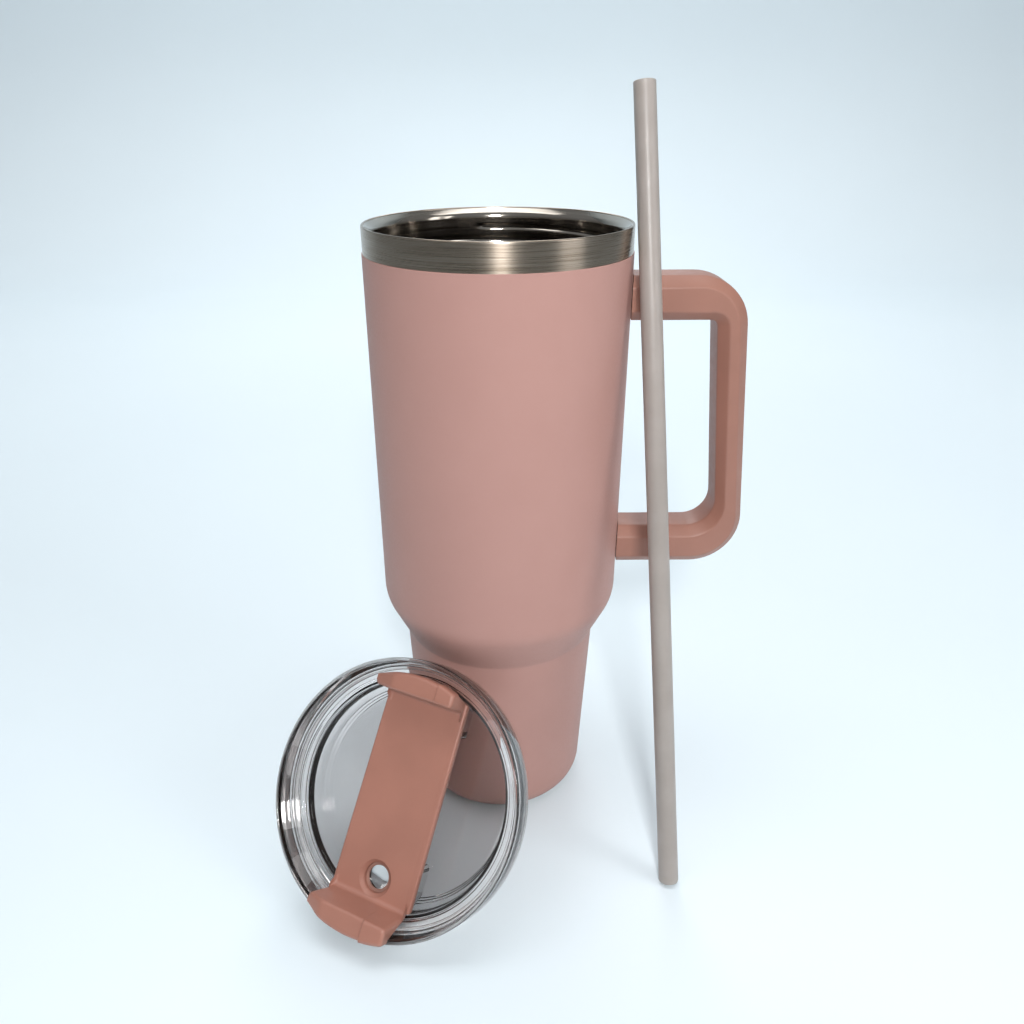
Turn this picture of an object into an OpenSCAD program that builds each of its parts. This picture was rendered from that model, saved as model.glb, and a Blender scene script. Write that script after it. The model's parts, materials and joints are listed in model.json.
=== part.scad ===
// Insulated tumbler with a carrying handle, a clear lid with a rotating cover, and a straw.
// Millimetres. Z is up, the cup stands on z = 0 with its axis on Z, and the handle points to +X.
// The lid leans on the cup at the front left, and the straw leans on the rim at the front right.

/* [Cup] */
// Height of the cup, base to rim
cup_h = 250; // [230:1:300]
// Outer radius at the rim
rim_r = 50; // [46:0.5:60]
// How much the upper wall narrows from the rim to the shoulder, on the radius
wall_taper = 0.8; // [0.4:0.1:2]
// Height of the corner between the upper wall and the sloping shoulder
shoulder_z = 99.5; // [94:0.5:108]
// Radius that rounds the corner of the shoulder
shoulder_round = 17; // [8:0.5:20]
// How much narrower the neck under the shoulder is than the shoulder, on the radius
neck_in = 8.65; // [7:0.05:10]
// Height of the neck crease above the base
neck_z = 81.8; // [74:0.2:83]
// How much the lower wall narrows from the neck to the foot, on the radius
foot_taper = 4.4; // [2:0.1:6]
// Radius of the rounded lower edge
foot_round = 11; // [8:0.5:13]
// Height of the bare steel band below the rim
band_h = 10; // [6:0.5:16]

/* [Shells] */
// Thickness of the powder coat
coat_t = 0.3; // [0.2:0.05:0.5]
// Thickness of each steel shell
steel_t = 0.5; // [0.4:0.05:0.8]
// Depth from the outer surface to the bore of the liner, on the radius
wall_depth = 4; // [3.6:0.1:5]
// Thickness of the foil around the liner
foil_t = 0.2; // [0.1:0.05:0.3]
// Height of the liner floor above the base
liner_floor = 8; // [7:0.5:14]
// Radius of the plate that closes the base
base_plate_r = 22; // [14:0.5:23]
// How far the base plate sits above the foot ring
base_recess = 2; // [1.5:0.1:2.5]

/* [Handle] */
// Height of the middle of the upper arm
upper_arm_z = 223; // [215:0.5:225]
// Height of the middle of the lower arm
lower_arm_z = 120.2; // [118:0.2:126]
// Depth of the arms, up and down
arm_t = 16.8; // [15:0.1:18]
// Width of the handle, side to side
handle_w = 20; // [17:0.5:24]
// Outer reach of the grip from the cup wall, at the upper arm
grip_reach = 43.8; // [40:0.1:50]
// Outward lean of the outer side of the grip
grip_lean = 4.2; // [0:0.1:6]
// Outward lean of the inner side of the grip
grip_inner_lean = 4.8; // [2:0.1:6]
// Thickness of the grip at the upper arm
grip_t = 11.6; // [10.5:0.1:14]
// Radius of the outer corners
corner_out = 20; // [14:0.5:22]
// Radius of the lower inner corner
corner_in = 11; // [6:0.5:13]
// Radius of the upper inner corner
corner_sharp = 2.5; // [1.5:0.5:6]
// Size of the flats along the handle's edges
handle_chamfer = 4; // [3:0.1:4.5]
// Length of the steel bracket inside each arm
bracket_l = 13; // [11:0.5:16]
// Radius of the handle screws
handle_screw_r = 2; // [1.5:0.1:2.2]

/* [Lid] */
// Height of the raised collar
collar_h = 11.8; // [11.5:0.1:13]
// How far the collar stands out past the rim, on the radius
collar_over = 1.4; // [1.2:0.1:3]
// Thickness of the collar at its upper edge
collar_edge = 1.2; // [1:0.1:2]
// Depth of the lid floor below the collar's upper edge
floor_depth = 23.5; // [22:0.1:26]
// Thickness of the lid floor
lid_floor_t = 2; // [1.6:0.1:2.4]
// Thickness of the plug wall
plug_t = 2; // [1.6:0.1:2.4]
// Thickness of the gasket, up and down
gasket_t = 2.4; // [2:0.1:3]
// Distance from the lid's axis to each drinking opening
opening_r = 32.3; // [31:0.1:33]
// Radius of the two openings in the lid
port_r = 5.2; // [4.5:0.1:5.6]
// Angle of the lid's front above the horizontal, as it leans
lid_lean = 37.3; // [34:0.1:44]
// Turn of the lid's front away from the front of the cup
lid_turn = 25; // [20:0.1:34]
// Direction of the leaning lid from the cup's axis
lid_side = 240.1; // [232:0.1:246]
// Turn of the leaning lid about its own axis
lid_spin = -1.5; // [-8:0.1:8]

/* [Rotating cover] */
// Width of the cover
cover_w = 34.8; // [32:0.2:36]
// Thickness of the cover's plate
cover_t = 3; // [2.4:0.1:3.4]
// Depth of the plate's upper face below the collar's upper edge
cover_depth = 8; // [7.6:0.1:8.4]
// Height of the finger tabs above the collar's upper edge
tab_h = 6; // [4:0.5:8]
// Radial length of the finger tabs' upper faces
tab_l = 8.4; // [7:0.1:9]
// How far the outer end of the short tab is inside the collar's outer edge
short_tab_in = 5.4; // [5:0.1:8]
// Distance from the middle of the long tab to the tip of its sloping end
long_tab_lobe = 20; // [18:0.1:21]
// Radius of the straw hole in the plate
straw_hole_r = 5.35; // [5:0.05:5.8]
// Thickness of the two seals under the plate
seal_t = 0.8; // [0.6:0.1:0.8]

/* [Straw] */
// Outer diameter of the straw
straw_d = 7.8; // [7:0.1:9]
// Wall thickness of the straw
straw_wall = 0.8; // [0.6:0.1:1]
// Length of the straw
straw_l = 303.5; // [275:0.5:330]
// Lean of the straw from upright
straw_lean = 13.46; // [12:0.02:15]
// Direction in which the straw leans
straw_turn = 104.6; // [100:0.1:108]
// Direction from the cup's axis to where the straw meets the rim
straw_side = -14.6; // [-20:0.1:-12]

/* [Clearances] */
// Gap between the handle and the cup wall
handle_gap = 0.3; // [0.2:0.05:0.6]
// Gap around a bracket inside its socket
socket_gap = 0.2; // [0.1:0.05:0.4]
// Gap between the gasket and the bore of the liner
gasket_gap = 0.3; // [0.2:0.05:0.4]
// Gap between the plug of the lid and the bore of the liner
plug_gap = 1.1; // [1:0.05:1.3]
// Gap between the cover and the lid where it turns
turn_gap = 0.3; // [0.2:0.05:0.4]
// Gap under whatever stands on the floor beside the cup
floor_gap = 0.05; // [0.02:0.01:0.2]
// Level gap between the cup and what leans on it
lean_gap = 0.5; // [0.4:0.05:0.8]

/* [Hidden] */
$fn = 128;

big = 200;
arc_steps = 10;

// Colours
c_pink = [0.66, 0.48, 0.46];
c_handle = [0.66, 0.44, 0.40];
c_steel = [0.78, 0.78, 0.79];
c_copper = [0.80, 0.50, 0.35];
c_clear = [0.80, 0.82, 0.85, 0.4];
c_black = [0.08, 0.08, 0.08];
c_frost = [0.85, 0.85, 0.83, 0.8];
c_silicone = [0.82, 0.78, 0.76];
c_brass = [0.80, 0.66, 0.36];

// ---- Outline of the cup, as a half profile of [radius, height] ----

shoulder_r = rim_r - wall_taper;
neck_r = shoulder_r - neck_in;
foot_r = neck_r - foot_taper;

// Directions of the upper wall and of the lower wall, from low to high
wall_a = atan2(cup_h - shoulder_z, rim_r - shoulder_r);
low_a = atan2(neck_z, neck_r - foot_r);
cone_a = atan2(shoulder_z - neck_z, shoulder_r - neck_r);

function polar(r, a) = [r * cos(a), r * sin(a)];
function arc(c, r, a0, a1, n = arc_steps) = [for (i = [0 : n]) c + polar(r, a0 + (a1 - a0) * i / n)];

// Where the line through p in direction a meets the line through q in direction b
function meet(p, a, q, b) =
    let (t = ((q[0] - p[0]) * sin(b) - (q[1] - p[1]) * cos(b)) / sin(b - a))
    p + polar(t, a);

// The point p of a line in direction a, moved in by t
function inset(p, a, t) = p - polar(t, a - 90);
function low_point(t) = inset([foot_r, 0], low_a, t);
function cone_point(t) = inset([neck_r, neck_z], cone_a, t);
function neck_at(t) = meet(cone_point(t), cone_a, low_point(t), low_a);
function wall_at(z, t = 0) = rim_r - t - (cup_h - z) / tan(wall_a);
shoulder_c = meet(
    inset([rim_r, cup_h], wall_a, shoulder_round), wall_a,
    cone_point(shoulder_round), cone_a
);

// Outline moved in by t, up to the shoulder's top, with its floor at zb and a lower edge of radius rf
function side(t, zb, rf) =
    let (fc = meet([0, zb + rf], 0, low_point(t + rf), low_a))
    concat(
        arc(fc, rf, -90, low_a - 90),
        [neck_at(t)],
        arc(shoulder_c, shoulder_round - t, cone_a - 90, wall_a - 90)
    );

// Radius of the cup's outside at a height z above the rounded lower edge
function cup_r(z) =
    z < neck_z ? foot_r + z / tan(low_a) :
    z < shoulder_c[1] - shoulder_round * cos(cone_a) ? neck_r + (z - neck_z) / tan(cone_a) :
    z < shoulder_c[1] ? shoulder_c[0] + sqrt(pow(shoulder_round, 2) - pow(z - shoulder_c[1], 2)) :
    wall_at(z);

// ---- Shells ----

shell_in = coat_t + steel_t;
liner_out = wall_depth - steel_t;
band_z = cup_h - band_h;
coat_z = 2.5;
bore_r = rim_r - wall_depth;
throat_l = 22;
throat_z = cup_h - throat_l;
foil_end = 2;

// Where the liner's outside leaves the shoulder, and its radius at a height z above that
liner_low = shoulder_c + polar(shoulder_round - liner_out, wall_a - 90);
function liner_at(z) =
    liner_low[0] + (z - liner_low[1]) / (throat_z - liner_low[1]) * (bore_r + steel_t - liner_low[0]);
flare_h = 4.5;
lip_round = 0.8 * steel_t;
thread_h = 0.8;
thread_drop = 8.6;

// Steel outer shell with a rounded foot, open under the base plate
module outer_shell() color(c_steel) rotate_extrude() {
    difference() {
        polygon(concat(
            [[base_plate_r, 0]],
            side(coat_t, 0, foot_round - coat_t),
            [[wall_at(cup_h - lip_round, coat_t), cup_h - lip_round],
             [wall_at(cup_h, coat_t) - lip_round, cup_h],
             [wall_at(cup_h, shell_in), cup_h], [base_plate_r, cup_h]]
        ));
        polygon(concat(
            side(shell_in, steel_t, foot_round - shell_in),
            [[wall_at(cup_h, shell_in), cup_h + 1], [0, cup_h + 1], [0, steel_t]]
        ));
    }
    // Upturned edge around the base plate
    translate([base_plate_r, 0]) square([steel_t, base_recess + steel_t]);
}

// Coat of coloured powder, from the foot up to the bare band
module powder_coat() color(c_pink) rotate_extrude() intersection() {
    translate([0, coat_z]) square([big, band_z - coat_z]);
    difference() {
        polygon(concat([[0, 0]], side(0, 0, foot_round), [[rim_r, cup_h], [0, cup_h]]));
        polygon(concat(
            [[0, 0]],
            side(coat_t, 0, foot_round - coat_t),
            [[wall_at(cup_h, coat_t), cup_h], [0, cup_h]]
        ));
    }
}

// Steel liner with a straight throat, a flared lip welded to the outer shell, and a rolled groove
module inner_shell() color(c_steel) rotate_extrude() {
    lip_r = wall_at(cup_h, shell_in);
    difference() {
        union() {
            polygon(concat(
                [[0, liner_floor - steel_t]],
                side(liner_out, liner_floor - steel_t, foot_round - 2),
                [[bore_r + steel_t, throat_z], [bore_r + steel_t, cup_h - flare_h],
                 [lip_r, cup_h - flare_h + (lip_r - bore_r - steel_t)], [lip_r, cup_h], [0, cup_h]]
            ));
            rolled_groove(steel_t);
        }
        polygon(concat(
            [[0, liner_floor]],
            side(wall_depth, liner_floor, foot_round - 2 - steel_t),
            [[bore_r, throat_z], [bore_r, cup_h - flare_h + steel_t / 2],
             [lip_r - steel_t, cup_h - flare_h + steel_t / 2 + (lip_r - steel_t - bore_r)],
             [lip_r - steel_t, cup_h - lip_round], [lip_r - steel_t + lip_round, cup_h], [lip_r, cup_h + 1],
             [0, cup_h + 1]]
        ));
        rolled_groove(0);
    }
}

// Section of the groove in the throat that takes the ridge of the lid, grown by t
module rolled_groove(t)
    translate([bore_r - thread_h, cup_h - thread_drop]) circle(r = 2 * thread_h + t, $fn = 32);

// Bright foil around the liner, inside the vacuum
module radiant_barrier() color(c_copper) rotate_extrude() {
    low = liner_low[1] + foil_end;
    high = throat_z - foil_end;
    polygon([
        [liner_at(low), low], [liner_at(low) + foil_t, low],
        [liner_at(high) + foil_t, high], [liner_at(high), high]
    ]);
}

// Stamped plate that closes the outer shell, with a raised sealing dimple
dimple_r = 6;
dimple_h = 1.6;
plug_hole_r = 1;
module base_plate() color(c_steel) difference() {
    union() {
        translate([0, 0, base_recess]) cylinder(r = base_plate_r, h = steel_t);
        translate([0, 0, base_recess]) cylinder(r = dimple_r, h = dimple_h + steel_t);
    }
    translate([0, 0, base_recess - 1]) cylinder(r = dimple_r - steel_t, h = dimple_h + 1);
    cylinder(r = plug_hole_r, h = liner_floor);
}

// Bead that closes the hole through which the air was drawn out
bead_r = 3;
bead_h = 0.6;
module vacuum_seal() color(c_steel) translate([0, 0, base_recess + dimple_h - bead_h]) {
    cylinder(r = bead_r, h = bead_h);
    translate([0, 0, bead_h]) cylinder(r = plug_hole_r, h = steel_t);
}

// Pill that soaks up stray gas, fixed to the underside of the liner
getter_r = 4;
getter_h = 1.5;
getter_x = 14;
module getter() color(c_steel)
    translate([getter_x, 0, liner_floor - steel_t - getter_h]) cylinder(r = getter_r, h = getter_h);

// ---- Handle ----

handle_z0 = lower_arm_z - arm_t / 2;
handle_z1 = lower_arm_z + arm_t / 2;
handle_z2 = upper_arm_z - arm_t / 2;
handle_z3 = upper_arm_z + arm_t / 2;
grip_x = rim_r + grip_reach;
outer_p = [grip_x, handle_z2];
inner_p = [grip_x - grip_t, handle_z2];

// Centre of an arc of radius r that touches the level line z and a leaning line through p, on its inner side
function corner_c(z, up, p, lean, r) =
    [p[0] + (p[1] - (z - up * r)) * tan(lean) - r / cos(lean), z - up * r];

out_top = corner_c(handle_z3, 1, outer_p, grip_lean, corner_out);
in_top = corner_c(handle_z2, 1, inner_p, grip_inner_lean, corner_sharp);
out_low = corner_c(handle_z0, -1, outer_p, grip_lean, corner_out);
in_low = corner_c(handle_z1, -1, inner_p, grip_inner_lean, corner_in);
root_x = rim_r - 12;

// Pairs of points along the handle: the one facing the hand, and the one facing out
inner_line = concat(
    [[root_x, handle_z2]], arc(in_top, corner_sharp, 90, grip_inner_lean, 6),
    arc(in_low, corner_in, grip_inner_lean, -90, 6), [[root_x, handle_z1]]
);
outer_line = concat(
    [[root_x, handle_z3]], arc(out_top, corner_out, 90, grip_lean, 6),
    arc(out_low, corner_out, grip_lean, -90, 6), [[root_x, handle_z0]]
);

// One eight-sided section of the handle between the points p and q
function section(p, q) =
    let (
        e = (q - p) / norm(q - p) * handle_chamfer,
        w = handle_w / 2,
        v = w - handle_chamfer,
        row = [[q, v], [q - e, w], [p + e, w], [p, v], [p, -v], [p + e, -w], [q - e, -w], [q, -v]]
    )
    [for (s = row) [s[0][0], s[1], s[0][1]]];

module handle_bar() {
    rings = len(inner_line);
    points = [for (i = [0 : rings - 1]) each section(inner_line[i], outer_line[i])];
    walls = [for (i = [0 : rings - 2], j = [0 : 7])
        let (a = i * 8 + j, b = i * 8 + (j + 1) % 8)
        each [[a, b, b + 8], [a, b + 8, a + 8]]];
    first = [[for (j = [7 : -1 : 0]) j]];
    last = [[for (j = [0 : 7]) (rings - 1) * 8 + j]];
    polyhedron(points, concat(walls, first, last), convexity = 6);
}

arm_heights = [upper_arm_z, lower_arm_z];
bracket_w = 10;
bracket_h = 7;
screw_x = rim_r + bracket_l - 5;
screw_head_r = handle_screw_r * 1.8;
screw_head_h = 1.6;
plug_h = 1.2;

// The space that the cup's outside takes, grown by a gap
module cup_space(gap) {
    translate([0, 0, shoulder_z])
        cylinder(r1 = wall_at(shoulder_z) + gap, r2 = wall_at(cup_h) + gap, h = cup_h - shoulder_z);
}

// Steel bracket welded to the cup, one for each arm
module bracket(z) color(c_steel) difference() {
    translate([rim_r - 4, -bracket_w / 2, z - bracket_h / 2]) cube([bracket_l + 4, bracket_w, bracket_h]);
    cup_space(0);
    translate([screw_x, 0, z - bracket_h]) cylinder(r = handle_screw_r, h = 2 * bracket_h);
}
module upper_bracket() bracket(upper_arm_z);
module lower_bracket() bracket(lower_arm_z);

module handle() color(c_handle) difference() {
    handle_bar();
    cup_space(handle_gap);
    for (z = arm_heights) {
        translate([0, -bracket_w / 2 - socket_gap, z - bracket_h / 2 - socket_gap])
            cube([rim_r + bracket_l + socket_gap, bracket_w + 2 * socket_gap, bracket_h + 2 * socket_gap]);
        translate([screw_x, 0, z - arm_t]) cylinder(r = handle_screw_r + socket_gap, h = arm_t);
        translate([screw_x, 0, z - arm_t / 2 - 1])
            cylinder(r = screw_head_r + socket_gap, h = screw_head_h + plug_h + 1);
    }
}

// Screws that hold the handle to its brackets, from below
module handle_screws() color(c_steel) for (z = arm_heights) translate([screw_x, 0, z - arm_t / 2 + plug_h]) {
    cylinder(r = screw_head_r, h = screw_head_h);
    cylinder(r = handle_screw_r, h = (arm_t + bracket_h) / 2 - plug_h);
}

// Plugs that hide the screw heads
module screw_plugs() color(c_handle) for (z = arm_heights)
    translate([screw_x, 0, z - arm_t / 2]) cylinder(r = screw_head_r + socket_gap, h = plug_h);

// ---- Lid, in its own frame: w up out of the lid from the collar's upper edge, the straw end towards -y ----

collar_r = rim_r + collar_over;
plug_r = bore_r - plug_gap;
plug_in = plug_r - plug_t;
plug_low = -floor_depth - lid_floor_t;
ledge_w = -cover_depth - cover_t - turn_gap;
bowl_r = plug_in;
bowl_w = ledge_w + 0.8;
rebate_h = 1.5;
rebate_gap = 0.3;
gasket_w = -collar_h - 3.2;
gasket_r = bore_r - gasket_gap;
groove_r = plug_r - 0.7;
deck_w = ledge_w - seal_t;
deck_t = 2.4;
deck_half = cover_w / 2 - 2.9;
deck_in = opening_r - port_r - 2.4;
deck_wall = 2;
taper_w = gasket_w - 2.5;
taper_in = 5.5;
low_r = plug_r - taper_in;
window_r = low_r + taper_in * lid_floor_t / (taper_w - plug_low) - plug_t;
thread_w = rebate_h - collar_h - thread_drop;
thread_r = bore_r + thread_h / 2;
boss_r = 6;
pivot_r = 2;
pivot_gap = 0.3;
washer_r = 5;
washer_t = 0.8;
ring_t = 1;

// The level distance between the cup and the nearest edge of the lid, for a lid d away
edge_steps = 72;
lid_z = collar_r * cos(lid_lean) + collar_h * sin(lid_lean) + floor_gap;
lid_n = [-sin(lid_turn) * cos(lid_lean), -cos(lid_turn) * cos(lid_lean), sin(lid_lean)];
lid_a = [cos(lid_turn), -sin(lid_turn), 0];
lid_b = [sin(lid_turn) * sin(lid_lean), cos(lid_turn) * sin(lid_lean), cos(lid_lean)];
function lid_centre(d) = [d * cos(lid_side), d * sin(lid_side), lid_z];
lid_edges = [
    [collar_r, 0], [collar_r, -collar_h], [thread_r, thread_w], [plug_r, taper_w], [low_r, plug_low]
];
function edge_room(c, t, e) =
    let (p = c + e[0] * (sin(t) * lid_a + cos(t) * lid_b) + e[1] * lid_n)
    norm([p[0], p[1]]) - cup_r(max(p[2], foot_round));
function lid_room(d) = min([
    for (i = [0 : edge_steps - 1], e = lid_edges) edge_room(lid_centre(d), i * 360 / edge_steps, e)
]);
function settle(d, n) = n == 0 ? d : settle(d - lid_room(d) + lean_gap, n - 1);
lid_at = lid_centre(settle(rim_r + 34, 12));

module in_lid() translate(lid_at) rotate([90 - lid_lean, 0, -lid_turn]) rotate([0, 0, lid_spin]) children();

// Half profile of the solid collar, plug and floor
module lid_profile() difference() {
    polygon([
        [0, plug_low], [low_r, plug_low], [plug_r, taper_w], [plug_r, -collar_h], [collar_r, -collar_h],
        [collar_r, -0.6], [collar_r - 0.4, 0], [collar_r - collar_edge, 0],
        [bowl_r, bowl_w], [plug_in, taper_w], [window_r + 0.3, -floor_depth + 0.5],
        [window_r - 0.3, -floor_depth], [0, -floor_depth]
    ]);
    // Rebate that the rim of the cup sits in
    translate([rim_r - 3, -collar_h - 1]) square([3 + rebate_gap, rebate_h + 1]);
    translate([groove_r, gasket_w - gasket_t / 2]) square([5, gasket_t]);
}

// Plan of the raised deck around one opening, inside radius r and half width h
module deck_plan(r, h, v) intersection() {
    circle(r = r);
    translate([-h, v]) square([2 * h, big]);
}

// The inside of the plug down to its lower face, moved in by t
module plug_space(t) rotate_extrude()
    polygon([
        [0, plug_low - 1], [low_r - t, plug_low - 1], [low_r - t, plug_low], [plug_r - t, taper_w],
        [plug_r - t, ledge_w], [0, ledge_w]
    ]);

// One raised deck on the +y side, and the room under it that is open to the drink
module deck() intersection() {
    translate([0, 0, plug_low]) linear_extrude(deck_w - plug_low) deck_plan(plug_r, deck_half, deck_in);
    plug_space(plug_t / 2);
}
module deck_room() {
    intersection() {
        translate([0, 0, plug_low - 1])
            linear_extrude(deck_w - deck_t - plug_low + 1)
                deck_plan(plug_r, deck_half - deck_wall, deck_in + deck_wall);
        plug_space(plug_t);
    }
    translate([0, opening_r, deck_w - deck_t - 1]) cylinder(r = port_r, h = deck_t + 2);
}

module lid_body() color(c_clear) in_lid() difference() {
    union() {
        rotate_extrude() lid_profile();
        for (a = [0, 180]) rotate([0, 0, a]) deck();
        // Ridge on the plug that seats in the groove of the throat
        rotate_extrude()
            translate([thread_r - 1.5 * thread_h, thread_w]) circle(r = 1.5 * thread_h, $fn = 32);
    }
    for (a = [0, 180]) rotate([0, 0, a]) deck_room();
    translate([0, 0, plug_low - 1]) cylinder(r = pivot_r + pivot_gap, h = lid_floor_t + 2);
}

// Black gasket in the groove of the plug, with two lips
module lid_gasket() color(c_black) in_lid() rotate_extrude() {
    translate([groove_r, gasket_w - gasket_t / 2]) square([plug_r - groove_r + 0.2, gasket_t]);
    for (s = [-1, 1])
        translate([plug_r, gasket_w + s * gasket_t / 4 - 0.4]) square([gasket_r - plug_r, 0.8]);
}

// Washer and sealing ring around the pivot screw, under and in the lid floor
module pivot_washer() color(c_steel) in_lid() translate([0, 0, plug_low - washer_t]) difference() {
    cylinder(r = washer_r, h = washer_t);
    translate([0, 0, -1]) cylinder(r = pivot_r + pivot_gap, h = washer_t + 2);
}
module pivot_ring() color(c_black) in_lid() translate([0, 0, -floor_depth]) difference() {
    cylinder(r = boss_r - 1, h = ring_t);
    translate([0, 0, -1]) cylinder(r = pivot_r + pivot_gap, h = ring_t + 2);
}

// ---- Rotating cover, in the lid's frame ----

cover_half = cover_w / 2;
plate_low = -cover_depth - cover_t;
plate_r = bowl_r - turn_gap - 0.2;
tab_gap = turn_gap + 0.3;
tab_low = tab_gap;
long_tab_r = collar_r - 0.4;
short_tab_r = collar_r - short_tab_in;
boss_low = -floor_depth + ring_t + turn_gap;
insert_r = 3;
insert_l = 7;
slope_l = 7;
slope_drop = 3;
step_x = 6;
step_h = 0.4;
foot_in = 2.6;
dish = 0.8;

// Radius of the sloping inner side of the collar at depth w, less the gap that a tab keeps
function bowl_at(w) = collar_r - collar_edge - (collar_r - collar_edge - bowl_r) * w / bowl_w - tab_gap;

// Half profile of the room that a finger tab may fill, out to radius r and clear of the collar
module tab_room(r) polygon([
    [0, -cover_depth - 0.5], [bowl_at(-cover_depth - 0.5), -cover_depth - 0.5],
    [min(r - 0.6, bowl_at(0)), tab_low], [r - 0.5, tab_low], [r, tab_low + 0.5],
    [r, tab_h - 1], [r - 1, tab_h], [0, tab_h]
]);

// Section of a finger tab from y outwards, with a foot that blends into the plate
module tab_section(y) polygon([
    [y - foot_in - 1.4, -cover_depth - 0.5], [y - foot_in - 1.4, -cover_depth],
    [y - foot_in, -cover_depth + 1.2], [y, tab_h - 0.8], [y + 0.8, tab_h],
    [big, tab_h], [big, -cover_depth - 0.5]
]);

// One finger tab on the +y side, out to radius r and from x = -wide to x = end, with a slope below
// x = -slope_x at its wide end, and a fine step at x = step
module finger_tab(r, wide, end, slope_x, step) difference() {
    intersection() {
        rotate_extrude() tab_room(r);
        translate([-wide, 0, 0]) rotate([90, 0, 90]) linear_extrude(wide + end) tab_section(r - tab_l);
    }
    low = tab_h - step_h;
    past = wide + 1;
    rotate([90, 0, 0]) translate([0, 0, -big]) linear_extrude(big) polygon([
        [-slope_x, low], [-past, low - slope_drop * (past - slope_x) / (wide - slope_x)],
        [-past, tab_h + 1], [step, tab_h + 1], [step, low]
    ]);
}

module rotating_cover() color(c_handle) in_lid() difference() {
    union() {
        translate([0, 0, plate_low]) linear_extrude(cover_t) intersection() {
            circle(r = plate_r);
            translate([-cover_half, -big / 2]) square([cover_w, big]);
        }
        finger_tab(short_tab_r, cover_half, cover_half - 1, cover_half - slope_l, step_x + 2.6);
        mirror([0, 1, 0])
            finger_tab(long_tab_r, long_tab_lobe, cover_half - 1.8, long_tab_lobe - slope_l, step_x);
        translate([0, 0, boss_low]) cylinder(r = boss_r, h = plate_low - boss_low + 1);
    }
    translate([0, -opening_r, plate_low - 1]) cylinder(r = straw_hole_r, h = cover_t + 2);
    translate([0, -opening_r, -cover_depth - dish])
        cylinder(r1 = straw_hole_r, r2 = straw_hole_r + 1, h = dish + 0.01);
    translate([0, 0, boss_low - 1]) cylinder(r = insert_r, h = insert_l + 1);
}

// Plan of a seal pad under the +y half of the cover
seal_in = opening_r - 7;
seal_side = cover_half - 1;
seal_out = plug_in - 0.4;
seal_lip = 0.4;
module seal_plan() difference() {
    intersection() {
        circle(r = seal_out);
        translate([-seal_side, seal_in]) square([2 * seal_side, big]);
    }
    circle(r = seal_in);
}

module sip_seal() color(c_silicone) in_lid()
    translate([0, 0, plate_low - seal_t]) linear_extrude(seal_t) seal_plan();

module straw_seal() color(c_silicone) in_lid() rotate([0, 0, 180])
    translate([0, 0, plate_low - seal_t]) difference() {
        linear_extrude(seal_t) seal_plan();
        translate([0, opening_r, -1]) cylinder(r = straw_d / 2 + seal_lip, h = seal_t + 2);
    }

// Threaded insert in the cover's boss, and the screw that holds the cover from under the lid
module pivot_insert() color(c_brass) in_lid() translate([0, 0, boss_low]) difference() {
    cylinder(r = insert_r, h = insert_l);
    translate([0, 0, -1]) cylinder(r = pivot_r, h = insert_l + 2);
}
screw_head_w = plug_low - washer_t - turn_gap;
pivot_head_r = 4;
pivot_head_h = 2;
hex_r = 1.6;
module pivot_screw() color(c_steel) in_lid() {
    translate([0, 0, screw_head_w - pivot_head_h]) difference() {
        cylinder(r = pivot_head_r, h = pivot_head_h);
        translate([0, 0, -pivot_head_h / 2]) cylinder(r = hex_r, h = pivot_head_h, $fn = 6);
    }
    translate([0, 0, screw_head_w]) cylinder(r = pivot_r, h = boss_low + insert_l - screw_head_w);
}

// ---- Straw ----

rim_point = (wall_at(cup_h) + straw_d / 2 / cos(straw_lean) + lean_gap) * [cos(straw_side), sin(straw_side)];
foot_point = rim_point - cup_h * tan(straw_lean) * [cos(straw_turn), sin(straw_turn)];
straw_z = straw_d / 2 * sin(straw_lean) + floor_gap;
module straw() color(c_frost) {
    translate([foot_point[0], foot_point[1], straw_z]) rotate([0, straw_lean, straw_turn]) difference() {
        cylinder(r = straw_d / 2, h = straw_l, $fn = 48);
        translate([0, 0, -1]) cylinder(r = straw_d / 2 - straw_wall, h = straw_l + 2, $fn = 48);
    }
}

outer_shell();
powder_coat();
inner_shell();
radiant_barrier();
base_plate();
vacuum_seal();
getter();
upper_bracket();
lower_bracket();
handle();
handle_screws();
screw_plugs();
lid_body();
lid_gasket();
pivot_washer();
pivot_ring();
rotating_cover();
straw_seal();
sip_seal();
pivot_insert();
pivot_screw();
straw();
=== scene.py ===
import json
import math

import bmesh
import bpy
from mathutils import Matrix, Vector


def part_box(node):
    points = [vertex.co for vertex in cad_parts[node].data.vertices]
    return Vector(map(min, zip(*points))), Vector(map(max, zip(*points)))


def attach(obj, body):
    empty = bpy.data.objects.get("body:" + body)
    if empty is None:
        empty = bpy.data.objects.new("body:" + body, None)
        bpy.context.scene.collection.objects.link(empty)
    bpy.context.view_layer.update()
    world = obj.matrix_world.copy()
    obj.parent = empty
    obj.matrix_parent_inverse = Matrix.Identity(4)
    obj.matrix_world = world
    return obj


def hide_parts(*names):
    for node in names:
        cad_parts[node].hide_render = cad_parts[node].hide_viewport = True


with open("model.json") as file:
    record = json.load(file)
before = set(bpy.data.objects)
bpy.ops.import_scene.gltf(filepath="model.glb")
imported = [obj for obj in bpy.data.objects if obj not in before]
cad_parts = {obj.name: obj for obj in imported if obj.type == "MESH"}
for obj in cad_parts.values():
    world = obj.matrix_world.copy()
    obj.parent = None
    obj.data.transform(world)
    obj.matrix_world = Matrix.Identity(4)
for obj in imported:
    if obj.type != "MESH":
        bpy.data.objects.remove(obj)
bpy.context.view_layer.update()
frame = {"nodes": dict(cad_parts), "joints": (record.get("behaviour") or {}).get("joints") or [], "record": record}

MM = 0.001

# ---------------------------------------------------------------------------
# Camera: in front of the cup and above its rim, looking down at it
# ---------------------------------------------------------------------------

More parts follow.
